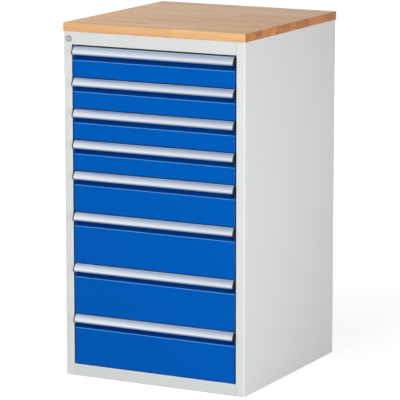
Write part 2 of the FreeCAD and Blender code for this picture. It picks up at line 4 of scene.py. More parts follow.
import bmesh
import bpy
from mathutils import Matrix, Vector


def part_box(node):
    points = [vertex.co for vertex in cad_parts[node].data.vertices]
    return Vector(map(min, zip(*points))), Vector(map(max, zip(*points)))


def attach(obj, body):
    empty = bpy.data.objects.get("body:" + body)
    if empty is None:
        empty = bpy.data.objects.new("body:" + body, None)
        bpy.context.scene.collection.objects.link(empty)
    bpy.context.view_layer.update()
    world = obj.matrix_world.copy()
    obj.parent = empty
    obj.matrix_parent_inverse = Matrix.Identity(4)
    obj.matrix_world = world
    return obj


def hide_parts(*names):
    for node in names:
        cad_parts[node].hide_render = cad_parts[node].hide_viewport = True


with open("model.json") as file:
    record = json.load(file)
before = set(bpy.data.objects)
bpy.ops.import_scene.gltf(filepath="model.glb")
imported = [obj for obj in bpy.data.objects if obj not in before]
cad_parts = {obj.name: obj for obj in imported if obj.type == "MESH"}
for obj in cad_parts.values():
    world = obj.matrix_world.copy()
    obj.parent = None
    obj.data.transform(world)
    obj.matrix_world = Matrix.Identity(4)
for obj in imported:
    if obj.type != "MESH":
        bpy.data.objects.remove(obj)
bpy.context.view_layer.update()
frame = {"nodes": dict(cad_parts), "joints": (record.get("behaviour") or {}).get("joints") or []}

# A sheet steel drawer cabinet with a beech worktop. Metres, in the CAD model's own frame:
# X to the right, Y to the back, Z up.

MM = 0.001
DRAWERS = range(1, 9)

# ---- Sizes of the drawn pieces ----
# Vertices within the first distance are merged. Within the second, one counts as in a plane.
MERGE_DISTANCE = 0.001 * MM
PLANE_SLACK = 0.02 * MM
SMOOTH_ANGLE = math.radians(35)

# The drawer fronts, folded from one sheet and trimmed on both sides of their CAD nodes' width.
FRONT_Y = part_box("side_panel_left")[0].y
SHEET = 1 * MM
FRONT_TRIM = 1.5 * MM
FRONT_HALF_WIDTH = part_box("drawer_1_front")[1].x - FRONT_TRIM
FACE_BEND = 2 * MM
LEDGE_BEND = 2.4 * MM
LEDGE_BEND_STEPS = 6
EDGE_BEND = 0.9 * MM
BACK_RETURN = 12 * MM

# The finger recess: a ledge below, a wall behind it, and a cheek that closes each end. Drops are
# from the front's top.
LEDGE_DROP = 37.3 * MM
LEDGE_SLOPE = 1 * MM
RECESS_DEPTH = 15 * MM
RECESS_BEND = 0.8 * MM
CHEEK_REAR_DROP = 12.6 * MM
CHEEK_FRONT_DROP = 20.4 * MM

# The notch in a front's left return: a slot that opens to the rear, and a pocket that rises at its
# inner end. Its depth is from the face, its foot over the low edge, its reach from the left side.
NOTCH_DEPTH = 9 * MM
NOTCH_FOOT = 11 * MM
NOTCH_REACH = 5.1 * MM
NOTCH_SLOT_HEIGHT = 5 * MM
NOTCH_POCKET_DEPTH = 8 * MM
NOTCH_POCKET_HEIGHT = 15 * MM

# The drawn grip: arcs over its top, face and lip, each with its radius and its steps.
HANDLE_REACH = 11 * MM
HANDLE_WALL = 1.8 * MM
HANDLE_EDGE = 0.25 * MM
HANDLE_TOP_RADIUS = 3 * MM
HANDLE_TOP_STEPS = 6
HANDLE_FACE_RADIUS = 40 * MM
HANDLE_FACE_STEPS = 14
HANDLE_LIP_RADIUS = 5 * MM
HANDLE_LIP_STEPS = 10
HANDLE_LIP_ANGLE = math.radians(19.3)
HANDLE_LIP_RETURN = 2 * MM

# The end caps: how far the heel lies below the top, the edges' round, and the lap over the grip.
CAP_HEEL = 14 * MM
CAP_EDGE = 0.4 * MM
CAP_RIM = 1.5 * MM

WORKTOP_EDGE = 1.5 * MM

# ---- Places and sizes in the materials ----
# A point this near to the place of a face counts as on that face.
SKIN_DEPTH = 0.4 * MM

# The painted shade beside the drawers, and the painted highlight on bends, both measured back from the
# fronts.
OPENING_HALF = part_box("side_panel_right")[0].x
GAP_SHADE_START = 2.5 * MM
GAP_SHADE_WIDTH = 8 * MM
HIGHLIGHT_BEND_DEPTH = 5 * MM
HIGHLIGHT_BEND_FADE = 2 * MM

# The staves' offset is a share of their width. The centres of the growth rings lie under the board.
STAVE_WIDTH = 43 * MM
STAVE_OFFSET = 0.37
BOARD_LENGTH = 360 * MM
RING_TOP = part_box("worktop")[0].z - 15 * MM
RING_DROP = 50 * MM
BOARD_SLIP_SEEDS = (3.1, 0.7)
BOARD_TONE_SEED = 2.3
BOARD_HUE_SEED = 8.9
END_TONE_SEEDS = (5.5, 1.9)

# The lock's face: radii about its axis.
LOCK_AXIS = next(joint["pos_m"] for joint in frame["joints"] if joint["name"] == "lock_turn")
GROOVE_RADIUS = 5.3 * MM
GROOVE_HALF_WIDTH = 0.6 * MM
GROOVE_FADE = 0.3 * MM
BEZEL_RADIUS = 5.7 * MM
BEZEL_FADE = 0.4 * MM

# ---- The studio's floor, sky, lamps and camera ----
# To the camera, the floor glows at its own level up to the first distance, and white past the second.
FLOOR_SIZE = 40
FLOOR_GREY = (0.5, 0.5, 0.5, 1)
FLOOR_SEEN_GREY = (0.3, 0.3, 0.3, 1)
FLOOR_GLOW = 0.8
FLOOR_GLOW_START = 0.6
FLOOR_GLOW_END = 2.4
# Heights in the sky, from 0 at the horizon to 1 overhead, and their colours.
SKY_STOPS = (
    (0.40, (1, 1, 1, 1)),
    (0.60, (0.88, 0.89, 0.90, 1)),
    (0.80, (0.66, 0.69, 0.72, 1)),
    (1.00, (0.48, 0.52, 0.57, 1)),
)
SKY_LEVEL = 0.12
LAMPS_AIM = Vector((0, 0, 0.5))
CAMERA_PLACE = (3.526722, -6.815477, 1.949848)
CAMERA_TILT = math.radians(79.2375)
CAMERA_TURN = math.radians(27.3834)
CAMERA_LENS = 240.21
CAMERA_SENSOR = 36
CAMERA_REACH = 100


# ---- Shader expressions ----
class Signal:
    """A socket that can stand in an expression. An expression on values adds its Math nodes."""

    def __init__(self, finish, socket):
        self.finish = finish
        self.socket = socket

    def math(self, operation, *values):
        inputs = {index: value for index, value in enumerate(values)}
        return self.finish.node("ShaderNodeMath", {"operation": operation}, inputs)

    def __add__(self, other):
        return self.math("ADD", self, other)

    def __radd__(self, other):
        return self.math("ADD", other, self)

    def __sub__(self, other):
        return self.math("SUBTRACT", self, other)

    def __rsub__(self, other):
        return self.math("SUBTRACT", other, self)

    def __mul__(self, other):
        return self.math("MULTIPLY", self, other)

    def __rmul__(self, other):
        return self.math("MULTIPLY", other, self)

    def __truediv__(self, other):
        return self.math("DIVIDE", self, other)

    def __rtruediv__(self, other):
        return self.math("DIVIDE", other, self)

    def __pow__(self, other):
        return self.math("POWER", self, other)

    def __gt__(self, other):
        return self.math("GREATER_THAN", self, other)

    def __lt__(self, other):
        return self.math("LESS_THAN", self, other)

    def __abs__(self):
        return self.math("ABSOLUTE", self)

    def floor(self):
        return self.math("FLOOR", self)

    def most(self, other):
        return self.math("MAXIMUM", self, other)


class Finish:
    """A material's or the world's nodes under construction."""

    def __init__(self, tree):
        self.tree = tree
        self.tree.nodes.clear()

    def node(self, kind, settings=None, inputs=None, output=0):
        """Add a node: its settings first, then the values or links of its sockets."""
        made = self.tree.nodes.new(kind)
        for name, value in (settings or {}).items():
            if name == "stops":
                self.set_stops(made.color_ramp, value)
            else:
                setattr(made, name, value)
        for name, value in (inputs or {}).items():
            if isinstance(value, Signal):
                self.tree.links.new(value.socket, made.inputs[name])
            else:
                made.inputs[name].default_value = value
        return Signal(self, made.outputs[output])

    def set_stops(self, ramp, stops):
        """Give a colour ramp its stops, each a place and a colour."""
        while len(ramp.elements) < len(stops):
            ramp.elements.new(1.0)
        for element, (place, colour) in zip(ramp.elements, stops):
            element.position = place
            element.color = colour

    def ramp(self, value, *stops):
        return self.node("ShaderNodeValToRGB", {"stops": stops}, {"Fac": value})

    def place(self, scale=(1, 1, 1), turn=(0, 0, 0)):
        """Object coordinates, stretched and turned by a Mapping node."""
        where = self.node("ShaderNodeTexCoord", output="Object")
        return self.node("ShaderNodeMapping", {}, {"Vector": where, "Scale": scale, "Rotation": turn})

    def normal(self):
        """The three numbers of the surface's normal."""
        return self.axes(self.node("ShaderNodeNewGeometry", output="Normal"))

    def axes(self, vector):
        """The three numbers of a vector."""
        parts = self.node("ShaderNodeSeparateXYZ", {}, {"Vector": vector})
        sockets = parts.socket.node.outputs
        return [Signal(self, sockets[index]) for index in range(3)]

    def point(self, x, y, z):
        return self.node("ShaderNodeCombineXYZ", {}, {"X": x, "Y": y, "Z": z})

    def noise(self, where, scale=1.0, detail=2, rough=0.5, twist=0.0):
        inputs = {"Vector": where, "Scale": scale, "Detail": detail, "Roughness": rough}
        return self.node("ShaderNodeTexNoise", {}, {**inputs, "Distortion": twist})

    def chance(self, *seeds):
        """A random number from 0 to 1, the same wherever its three seeds are the same."""
        settings = {"noise_dimensions": "3D"}
        return self.node("ShaderNodeTexWhiteNoise", settings, {"Vector": self.point(*seeds)})

    def spread(self, value, low, high, new_low=0.0, new_high=1.0):
        """A value's range, stretched to a new one and clamped."""
        inputs = {"Value": value, "From Min": low, "From Max": high}
        inputs.update({"To Min": new_low, "To Max": new_high})
        return self.node("ShaderNodeMapRange", {"clamp": True}, inputs)

    def mix(self, share, first, second, how="MIX"):
        """Blend two colours. A share of 0 is the first, and of 1 the second. On a Mix node set to
        colours, socket 0 is the factor, 6 and 7 are the colours, and output 2 is the result."""
        settings = {"data_type": "RGBA", "blend_type": how}
        return self.node("ShaderNodeMix", settings, {0: share, 6: first, 7: second}, output=2)

    def shade(self, colour, brightness):
        """A colour times a brightness that varies over the surface."""
        grey = self.point(brightness, brightness, brightness)
        settings = {"operation": "MULTIPLY"}
        plain = colour if isinstance(colour, Signal) else colour[:3]
        return self.node("ShaderNodeVectorMath", settings, {0: plain, 1: grey})

    def bump(self, height, strength, distance):
        inputs = {"Height": height, "Strength": strength, "Distance": distance}
        return self.node("ShaderNodeBump", {}, inputs)

    def surface(self, **sockets):
        """Finish with a Principled BSDF. Socket names are given with underscores for spaces."""
        inputs = {name.replace("_", " "): value for name, value in sockets.items()}
        shader = self.node("ShaderNodeBsdfPrincipled", {}, inputs)
        self.node_output(shader)

    def node_output(self, shader, kind="ShaderNodeOutputMaterial"):
        """Link a shader to the tree's output."""
        output = self.tree.nodes.new(kind)
        self.tree.links.new(shader.socket, output.inputs["Surface"])


def new_material(name):
    material = bpy.data.materials.new(name)
    material.use_nodes = True
    return material, Finish(material.node_tree)


def rgb(red, green, blue):
    """A colour written as 0 to 255 in sRGB, as Blender's linear colour."""
    linear = []
    for value in (red, green, blue):
        share = value / 255
        linear.append(share / 12.92 if share <= 0.04045 else ((share + 0.055) / 1.055) ** 2.4)
    return (*linear, 1.0)


# ---- Materials ----
# The dark colour of the painted shade in the gaps beside the drawer fronts.
GAP_SHADE = rgb(46, 48, 52)
PLAIN_TINT = (1, 1, 1, 1)


def gap_shade_strip(finish, normal, where):
    """1 on the strip of painted shade, in a dark colour, that lines both sides of the drawer opening
    where the gaps beside the fronts lie in shade.
    """
    across, depth, _ = finish.axes(where)
    at_opening = abs(abs(across) - OPENING_HALF) < SKIN_DEPTH
    faces_in = abs(normal[0]) > 0.8
    strip_y = FRONT_Y + GAP_SHADE_START
    in_strip = (depth > strip_y) * (depth < strip_y + GAP_SHADE_WIDTH)
    return at_opening * faces_in * in_strip


def powder_coat(
    name, colour, bend_highlight_colour, roughness, grain, specular=0.5, tint=PLAIN_TINT, return_shade_tone=1.0
):
    """Sprayed and baked powder paint: orange peel, fine speckle, a slow drift of tone, a painted
    highlight in a paler colour on the outer bends of the front that face up, and a dark strip of
    painted shade in the drawer opening. `grain` is the strength of the speckle. The return tone is
    painted shade: it darkens the returns on the two sides of a drawer's front."""
    material, finish = new_material(name)
    where = finish.place()
    peel = finish.noise(where, scale=420, detail=3, rough=0.55)
    speckle = finish.noise(where, scale=2600, rough=0.6)
    drift = finish.noise(where, scale=2.3, detail=3)
    tone = 1 + (drift - 0.5) * 0.05 + (speckle - 0.5) * grain

    normal = finish.normal()
    across, depth, _ = finish.axes(where)
    # Painted shade: the returns on a front's two sides are darkened.
    faces_side = finish.spread(abs(normal[0]), 0.70, 0.98)
    at_side = finish.spread(abs(across), FRONT_HALF_WIDTH - SKIN_DEPTH, FRONT_HALF_WIDTH)
    painted_return_shade = faces_side * at_side
    tone = tone * (1 - painted_return_shade * (1 - return_shade_tone))

    # Painted highlight: up-facing bends near the front take the paler bend colour.
    # A bend is where the normal follows none of the three axes.
    flatness = abs(normal[0]).most(abs(normal[1])).most(abs(normal[2]))
    bent = finish.spread(1 - flatness, 0.01, 0.18)
    faces_up = finish.spread(normal[2], -0.2, 0.3)
    fade_end = HIGHLIGHT_BEND_DEPTH + HIGHLIGHT_BEND_FADE
    near_face = finish.spread(depth - FRONT_Y, HIGHLIGHT_BEND_DEPTH, fade_end, 1, 0)
    paint = finish.mix(bent * faces_up * near_face, colour, bend_highlight_colour)
    # Painted shade: a dark strip on the opening's returns, where the gaps beside the fronts lie in
    # shade.
    base = finish.mix(gap_shade_strip(finish, normal, where), paint, GAP_SHADE)
    finish.surface(
        Base_Color=finish.shade(base, tone),
        Roughness=roughness + (peel - 0.5) * 0.10 + (drift - 0.5) * 0.08,
        Specular_IOR_Level=specular,
        Specular_Tint=tint,
        Normal=finish.bump(peel + speckle * 0.25, strength=0.16, distance=0.25 * MM),
    )
    return material


def beech_wood():
    """Solid beech glued up from staves along X, with end grain on the two short sides."""
    material, finish = new_material("beech_worktop")
    where = finish.place()
    x, y, z = finish.axes(where)
    normal = finish.normal()
    end_face = finish.spread(abs(normal[0]), 0.6, 0.8)
    long_side_shade = finish.spread(abs(normal[1]), 0.6, 0.8)

    # The staves lie side by side along Y. Each has its boards joined end to end at its own places.
    across = y / STAVE_WIDTH + STAVE_OFFSET
    stave = across.floor()
    stave_share = across - stave
    slip = finish.chance(stave, *BOARD_SLIP_SEEDS)
    along = x / BOARD_LENGTH + slip * 7
    board = along.floor()
    board_share = along - board
    board_tone = finish.chance(stave, board, BOARD_TONE_SEED)
    board_hue = finish.chance(stave, board, BOARD_HUE_SEED)

    # The grain runs along X and is moved to a new place in each board.
    shift = board_tone * 9.0
    grain_place = finish.point(x * 1.6 + shift, y * 30 + board_hue * 11, z * 30)
    figure = finish.noise(grain_place, scale=1.3, detail=4, rough=0.55, twist=1.2)
    streak_place = finish.point(x * 7 + shift, y * 420 + board_hue * 17, z * 420)
    streak = finish.noise(streak_place, detail=3, rough=0.6)
    fleck_place = finish.point(x * 150 + shift, y * 1300, z * 1300)
    fleck = finish.spread(finish.noise(fleck_place, detail=1, rough=0.4), 0.64, 0.72)

    # On the end grain the growth rings show as arcs, about a centre of its own in each stave.
    end_tone = finish.chance(stave, *END_TONE_SEEDS)
    ring_y = y - (stave + end_tone * 2 - 0.7) * STAVE_WIDTH
    ring_z = z - RING_TOP + end_tone * RING_DROP
    ring_distance = (ring_y * ring_y + ring_z * ring_z) ** 0.5
    ring_wave = finish.noise(finish.point(ring_distance * 420, end_tone * 30, stave))
    pores = finish.noise(where, scale=2200, rough=0.7)

    light, dark, pink = rgb(231, 196, 150), rgb(206, 160, 116), rgb(218, 160, 118)
    long_grain = finish.mix(finish.spread(figure, 0.32, 0.7), light, dark)
    long_grain = finish.mix(board_hue * 0.62, long_grain, pink)
    long_grain = finish.mix(fleck * 0.5, long_grain, rgb(150, 92, 56))
    # Painted shade: the long sides are tinted darker and yellower than the top, standing in for the
    # sheen that pales the top.
    long_grain = finish.mix(long_side_shade, long_grain, (0.98, 0.96, 0.84, 1), "MULTIPLY")
    long_tone = 0.98 + board_tone * 0.12 + (streak - 0.5) * 0.16
    end_grain = finish.mix(finish.spread(ring_wave, 0.3, 0.7), rgb(205, 137, 82), rgb(157, 94, 50))
    end_grain_tone = 0.78 + end_tone * 0.42 + (pores - 0.5) * 0.3

    # The glue lines between staves show everywhere, and those between boards on the long grain.
    joint = finish.spread(abs(stave_share - 0.5), 0.492, 0.5)
    butt = finish.spread(abs(board_share - 0.5), 0.4985, 0.5) * (1 - end_face)
    seam = joint.most(butt) * 0.22
    long_wood = finish.shade(long_grain, long_tone)
    end_wood = finish.shade(end_grain, end_grain_tone)
    wood = finish.mix(end_face, long_wood, end_wood)
    height = streak * 0.6 + pores * 0.5 - seam * 1.5
    finish.surface(
        Base_Color=finish.mix(seam, wood, rgb(110, 66, 38)),
        Roughness=0.47 + (streak - 0.5) * 0.12 + end_face * 0.12,
        Specular_IOR_Level=0.45,
        Normal=finish.bump(height, strength=0.22, distance=0.3 * MM),
    )
    return material


def drawn_aluminium():
    """Anodised aluminium with fine drawing lines along X. Its colour is painted shade and highlight
    by how far it faces up: dark below, brightest on the upper face, and a pale matt over the top bend."""
    material, finish = new_material("handle_anodised")
    x, y, z = finish.axes(finish.place())
    lines = finish.noise(finish.point(x * 6, y * 2600, z * 2600), detail=3, rough=0.6)
    bands = finish.noise(finish.point(x * 1.2, y * 260, z * 260))
    tone = 1 + (lines - 0.5) * 0.10 + (bands - 0.5) * 0.06
    upness = finish.normal()[2]
    # Painted shade and highlight: the colour follows how far the surface faces up.
    colour = finish.ramp(
        finish.spread(upness, -1, 1),
        (0.375, rgb(138, 154, 172)),
        (0.550, rgb(190, 202, 218)),
        (0.690, rgb(240, 244, 251)),
        (0.850, rgb(198, 213, 234)),
        (0.870, rgb(212, 227, 243)),
    )
    finish.surface(
        Base_Color=finish.shade(colour, tone),
        Metallic=finish.spread(upness, 0.74, 0.8, 1, 0.3),
        Roughness=0.36 + (lines - 0.5) * 0.16,
        Normal=finish.bump(lines, strength=0.10, distance=0.1 * MM),
    )
    return material


def moulded_plastic():
    """Black moulded plastic with a spark-eroded grain."""
    material, finish = new_material("cap_plastic")
    grain = finish.noise(finish.place(), scale=1500, rough=0.6)
    finish.surface(
        Base_Color=finish.shade(rgb(22, 24, 26), 1 + (grain - 0.5) * 0.3),
        Roughness=0.52 + (grain - 0.5) * 0.2,
        Specular_IOR_Level=0.3,
        Normal=finish.bump(grain, strength=0.2, distance=0.2 * MM),
    )
    return material


def zinc_plate():
    """Zinc-plated steel: small crystals, clouds of tone and faint rolling lines along Y."""
    material, finish = new_material("runner_zinc")
    where = finish.place()
    cell_inputs = {"Vector": where, "Scale": 380}
    cells = finish.node("ShaderNodeTexVoronoi", {"feature": "F1"}, cell_inputs, output="Color")
    crystal = finish.axes(cells)[0]
    cloud = finish.noise(where, scale=35, detail=3, rough=0.6)
    x, y, z = finish.axes(where)
    lines = finish.noise(finish.point(x * 1800, y * 9, z * 1800), rough=0.6)
    colour = finish.mix(cloud, rgb(178, 182, 184), rgb(196, 194, 184))
    finish.surface(
        Base_Color=finish.shade(colour, 0.93 + crystal * 0.1 + (lines - 0.5) * 0.12),
        Metallic=1.0,
        Roughness=0.36 + crystal * 0.06 + (lines - 0.5) * 0.15,
        Normal=finish.bump(lines, strength=0.08, distance=0.1 * MM),
    )
    return material


def lock_chrome():
    """Nickel chrome: a bright plug in a satin bezel, a dark ring of painted shade in the groove
    between them, and hair scratches from keys."""
    material, finish = new_material("lock_polished")
    where = finish.place()
    x, _, z = finish.axes(where)
    from_axis_x = x - LOCK_AXIS[0]
    from_axis_z = z - LOCK_AXIS[2]
    radius = (from_axis_x * from_axis_x + from_axis_z * from_axis_z) ** 0.5
    bezel = finish.spread(radius, BEZEL_RADIUS, BEZEL_RADIUS + BEZEL_FADE)
    from_groove = abs(radius - GROOVE_RADIUS)
    groove_shade = finish.spread(from_groove, GROOVE_HALF_WIDTH, GROOVE_HALF_WIDTH + GROOVE_FADE, 1, 0)
    rings = finish.noise(finish.point(radius * 5200, 0.0, 0.0))
    haze = finish.noise(where, scale=260, detail=3, rough=0.6)
    scratch_place = finish.place(scale=(5200, 5200, 420), turn=(0, 0.7, 0))
    scratch = finish.spread(finish.noise(scratch_place, detail=1), 0.66, 0.8)
    metal = finish.mix(bezel, rgb(205, 207, 210), rgb(172, 175, 179))
    # Painted shade: a dark ring in the groove between plug and bezel.
    metal = finish.mix(groove_shade, metal, rgb(62, 65, 68))
    tone = 1 + (haze - 0.5) * 0.06 - scratch * 0.1 + (rings - 0.5) * bezel * 0.3
    finish.surface(
        Base_Color=finish.shade(metal, tone),
        Metallic=1.0,
        Roughness=0.16 + haze * 0.08 + scratch * 0.15 + bezel * 0.12,
        Normal=finish.bump(rings * bezel - scratch, strength=0.12, distance=0.03 * MM),
    )
    return material


# The second colour of each powder coat is its painted highlight on bends.
BODY_PAINT = powder_coat(
    "body_powder_coat", rgb(212, 214, 213), rgb(230, 232, 231), roughness=0.46, grain=0.05
)
# The front rails' paint is the body paint made darker: painted shade.
RAIL_PAINT_SHADED = powder_coat(
    "rail_powder_coat_shaded", rgb(207, 209, 208), rgb(226, 228, 227), roughness=0.46, grain=0.05
)
FRONT_PAINT = powder_coat(
    "front_powder_coat",
    rgb(0, 86, 174),
    rgb(90, 160, 238),
    roughness=0.40,
    grain=0.08,
    specular=0.2,
    tint=rgb(20, 140, 255),
    return_shade_tone=0.55,
)
PAN_PAINT = powder_coat(
    "pan_powder_coat", rgb(203, 206, 206), rgb(214, 217, 217), roughness=0.48, grain=0.06
)
BEECH = beech_wood()
ALUMINIUM = drawn_aluminium()
PLASTIC = moulded_plastic()
ZINC = zinc_plate()
CHROME = lock_chrome()

RAIL_NODES = ("front_top_rail", "front_bottom_rail")
FINISH_OF_SLOT = {
    "body_grey": BODY_PAINT,
    "front_blue": FRONT_PAINT,
    "pan_grey": PAN_PAINT,
    "beech": BEECH,
    "handle_aluminium": ALUMINIUM,
    "cap_black": PLASTIC,
    "zinc_steel": ZINC,
    "lock_chrome": CHROME,
}


def dress_cad_nodes():
    """Give every CAD node the finish of its own slot. The front rails get a darker copy of the
    body paint, as painted shade that dims their light."""
    for name, node in frame["nodes"].items():
        for slot in node.material_slots:
            material = FINISH_OF_SLOT[slot.material.name.split(".")[0]]
            slot.material = RAIL_PAINT_SHADED if name in RAIL_NODES else material


# ---- Modelling ----
def leave_edit_mode():
    if bpy.context.mode != "OBJECT":
        bpy.ops.object.mode_set(mode="OBJECT")


def begin():
    """Leave edit mode and deselect everything, before a new primitive."""
    leave_edit_mode()
    bpy.ops.object.select_all(action="DESELECT")


def pick(kind, test):
    """In edit mode, select only the edges or the faces whose corners all pass the test."""
    bpy.ops.mesh.select_mode(type=kind)
    bpy.ops.mesh.select_all(action="DESELECT")
    mesh = bmesh.from_edit_mesh(bpy.context.edit_object.data)
    for part in mesh.edges if kind == "EDGE" else mesh.faces:
        if all(test(vertex.co) for vertex in part.verts):
            part.select_set(True)
    bmesh.update_edit_mesh(bpy.context.edit_object.data)


def near(value, target):
    return abs(value - target) < PLANE_SLACK


def merge_all():
    """Select everything, and merge what meets."""
    bpy.ops.mesh.select_all(action="SELECT")
    bpy.ops.mesh.remove_doubles(threshold=MERGE_DISTANCE)
    bpy.ops.mesh.select_all(action="SELECT")


def start_line(place):
    """Begin a drawn outline: a plane, merged into one vertex."""
    begin()
    bpy.ops.mesh.primitive_plane_add(size=MM, location=place)
    bpy.ops.object.transform_apply(location=True, rotation=True, scale=True)
    bpy.ops.object.mode_set(mode="EDIT")
    bpy.ops.mesh.select_all(action="SELECT")
    bpy.ops.mesh.merge(type="CENTER")
    bpy.ops.mesh.select_mode(type="VERT")
    bpy.ops.mesh.select_all(action="SELECT")


def line_to(y_step, z_step):
    """Draw the outline on, from the selected vertex."""
    bpy.ops.mesh.extrude_region_move(TRANSFORM_OT_translate={"value": (0, y_step, z_step)})


def arc_to(centre, turn, steps):
    """Draw an arc on from the selected vertex, about a centre, turning about X. The spin operator
    counts its angle the other way round."""
    bpy.ops.mesh.spin(steps=steps, angle=-turn, center=centre, axis=(1, 0, 0), use_auto_merge=False)


def close_line():
    """Merge what meets, and fill the outline with one face."""
    merge_all()
    bpy.ops.mesh.edge_face_add()


def draw_out(length):
    """Draw all that is selected out along X."""
    bpy.ops.mesh.extrude_region_move(TRANSFORM_OT_translate={"value": (length, 0, 0)})


def outward():
    """Merge doubles and turn every face outwards."""
    merge_all()
    bpy.ops.mesh.normals_make_consistent(inside=False)


def round_edges(width, steps):
    """Bevel the selected edges to a round of that width."""
    bpy.ops.mesh.bevel(offset=width, segments=steps, profile=0.5, affect="EDGES")


def apply_modifier(kind, **settings):
    """Add a modifier to the active piece and apply it."""
    modifier = bpy.context.object.modifiers.new(kind.lower(), kind)
    for name, value in settings.items():
        setattr(modifier, name, value)
    bpy.ops.object.modifier_apply(modifier=modifier.name)


def soften_edges(width, steps, degrees):
    """Bevel every edge of the active piece that is sharper than an angle."""
    sharpest = math.radians(degrees)
    apply_modifier("BEVEL", width=width, segments=steps, limit_method="ANGLE", angle_limit=sharpest)


def give_wall(wall):
    """Give an open sheet its wall, inwards from its outer skin."""
    apply_modifier("SOLIDIFY", thickness=wall, offset=-1, use_even_offset=True)


def take(piece):
    """Select one piece and make it the active one."""
    begin()
    piece.select_set(True)
    bpy.context.view_layer.objects.active = piece


def copied(piece, move):
    """A copy of a piece with its own mesh, moved in its mesh."""
    take(piece)
    bpy.ops.object.duplicate()
    bpy.ops.transform.translate(value=move)
    bpy.ops.object.transform_apply(location=True, rotation=True, scale=True)
    return bpy.context.object


def finished(material):
    """Leave edit mode, give the active piece its material and smooth its round faces."""
    leave_edit_mode()
    piece = bpy.context.object
    piece.data.materials.clear()
    piece.data.materials.append(material)
    bpy.ops.object.shade_smooth_by_angle(angle=SMOOTH_ANGLE)
    return piece


def hand_over(piece, name, body, slot, node):
    """Name the piece. It rides on its body and stands for its CAD node, which is hidden. The slot is
    not used.
    """
    piece.name = name
    piece.data.name = name
    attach(piece, body)
    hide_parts(node)


# ---- Grips and end caps ----
def handle_arcs():
    """Centre, turn and steps of the handle's top, face and lip arcs. A centre is its reach in
    front of the face and its rise from the handle's top."""
    lip_reach = HANDLE_REACH - HANDLE_LIP_RADIUS
    inner = HANDLE_FACE_RADIUS - HANDLE_LIP_RADIUS
    face_reach = lip_reach - inner * math.cos(HANDLE_LIP_ANGLE)
    top_angle = math.acos(-face_reach / HANDLE_FACE_RADIUS)
    top_reach = -HANDLE_TOP_RADIUS * math.cos(top_angle)
    face_start_rise = -HANDLE_TOP_RADIUS + HANDLE_TOP_RADIUS * math.sin(top_angle)
    face_rise = face_start_rise - HANDLE_FACE_RADIUS * math.sin(top_angle)
    lip_rise = face_rise + inner * math.sin(HANDLE_LIP_ANGLE)
    return [
        (top_reach, -HANDLE_TOP_RADIUS, math.pi / 2 - top_angle, HANDLE_TOP_STEPS),
        (face_reach, face_rise, top_angle - HANDLE_LIP_ANGLE, HANDLE_FACE_STEPS),
        (lip_reach, lip_rise, HANDLE_LIP_ANGLE + math.pi / 2, HANDLE_LIP_STEPS),
    ]


def draw_handle_skin(x, top, rear_y):
    """Draw the handle's outer line from its top rear, over the face, to the end of the lip."""
    arcs = handle_arcs()
    first_reach = arcs[0][0]
    start_line((x, rear_y, top))
    line_to(FRONT_Y - first_reach - rear_y, 0)
    for reach, rise, turn, steps in arcs:
        arc_to((x, FRONT_Y - reach, top + rise), turn, steps)
    line_to(HANDLE_LIP_RETURN, 0)


def drawn_end():
    """Where the outline's selected vertex is."""
    mesh = bmesh.from_edit_mesh(bpy.context.edit_object.data)
    return next(vertex.co.copy() for vertex in mesh.verts if vertex.select)


def turn_top_up():
    """Flip an open sheet whose top face looks down, so that its wall goes to its inner side."""
    top_face = max(bpy.context.object.data.polygons, key=lambda face: face.center.z)
    if top_face.normal.z < 0:
        bpy.ops.object.mode_set(mode="EDIT")
        bpy.ops.mesh.select_all(action="SELECT")
        bpy.ops.mesh.flip_normals()
        leave_edit_mode()


def make_handle(node):
    """The drawn grip: a flat top, a curved face and a lip, all of one wall, between the caps' rims."""
    low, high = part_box(node)
    draw_handle_skin(low.x + CAP_RIM, high.z, high.y)
    merge_all()
    draw_out(high.x - low.x - 2 * CAP_RIM)
    outward()
    leave_edit_mode()
    turn_top_up()
    give_wall(HANDLE_WALL)
    soften_edges(HANDLE_EDGE, steps=2, degrees=60)
    return finished(ALUMINIUM)


def make_end_caps(node):
    """The two moulded cheeks that close the handle's ends, with softened rims."""
    handle_node = node.replace("_caps", "")
    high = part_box(node)[1]
    handle_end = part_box(handle_node)[1].x - CAP_RIM
    draw_handle_skin(handle_end, high.z, high.y)
    lip_end = drawn_end()
    line_to(high.y - lip_end.y, high.z - CAP_HEEL - lip_end.z)
    close_line()
    draw_out(high.x - handle_end)
    outward()
    leave_edit_mode()
    soften_edges(CAP_EDGE, steps=3, degrees=50)
    apply_modifier("MIRROR", use_axis=(True, False, False), use_mirror_merge=False)
    return finished(PLASTIC)


# ---- Worktop ----
def make_worktop(node):
    """The beech board, its edges rounded over."""
    low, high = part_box(node)
    begin()
    bpy.ops.mesh.primitive_cube_add(size=1, location=(low + high) / 2, scale=high - low)
    bpy.ops.object.transform_apply(location=True, rotation=True, scale=True)
    bpy.ops.object.mode_set(mode="EDIT")
    bpy.ops.mesh.select_all(action="SELECT")
    round_edges(WORKTOP_EDGE, steps=4)
    outward()
    return finished(BEECH)


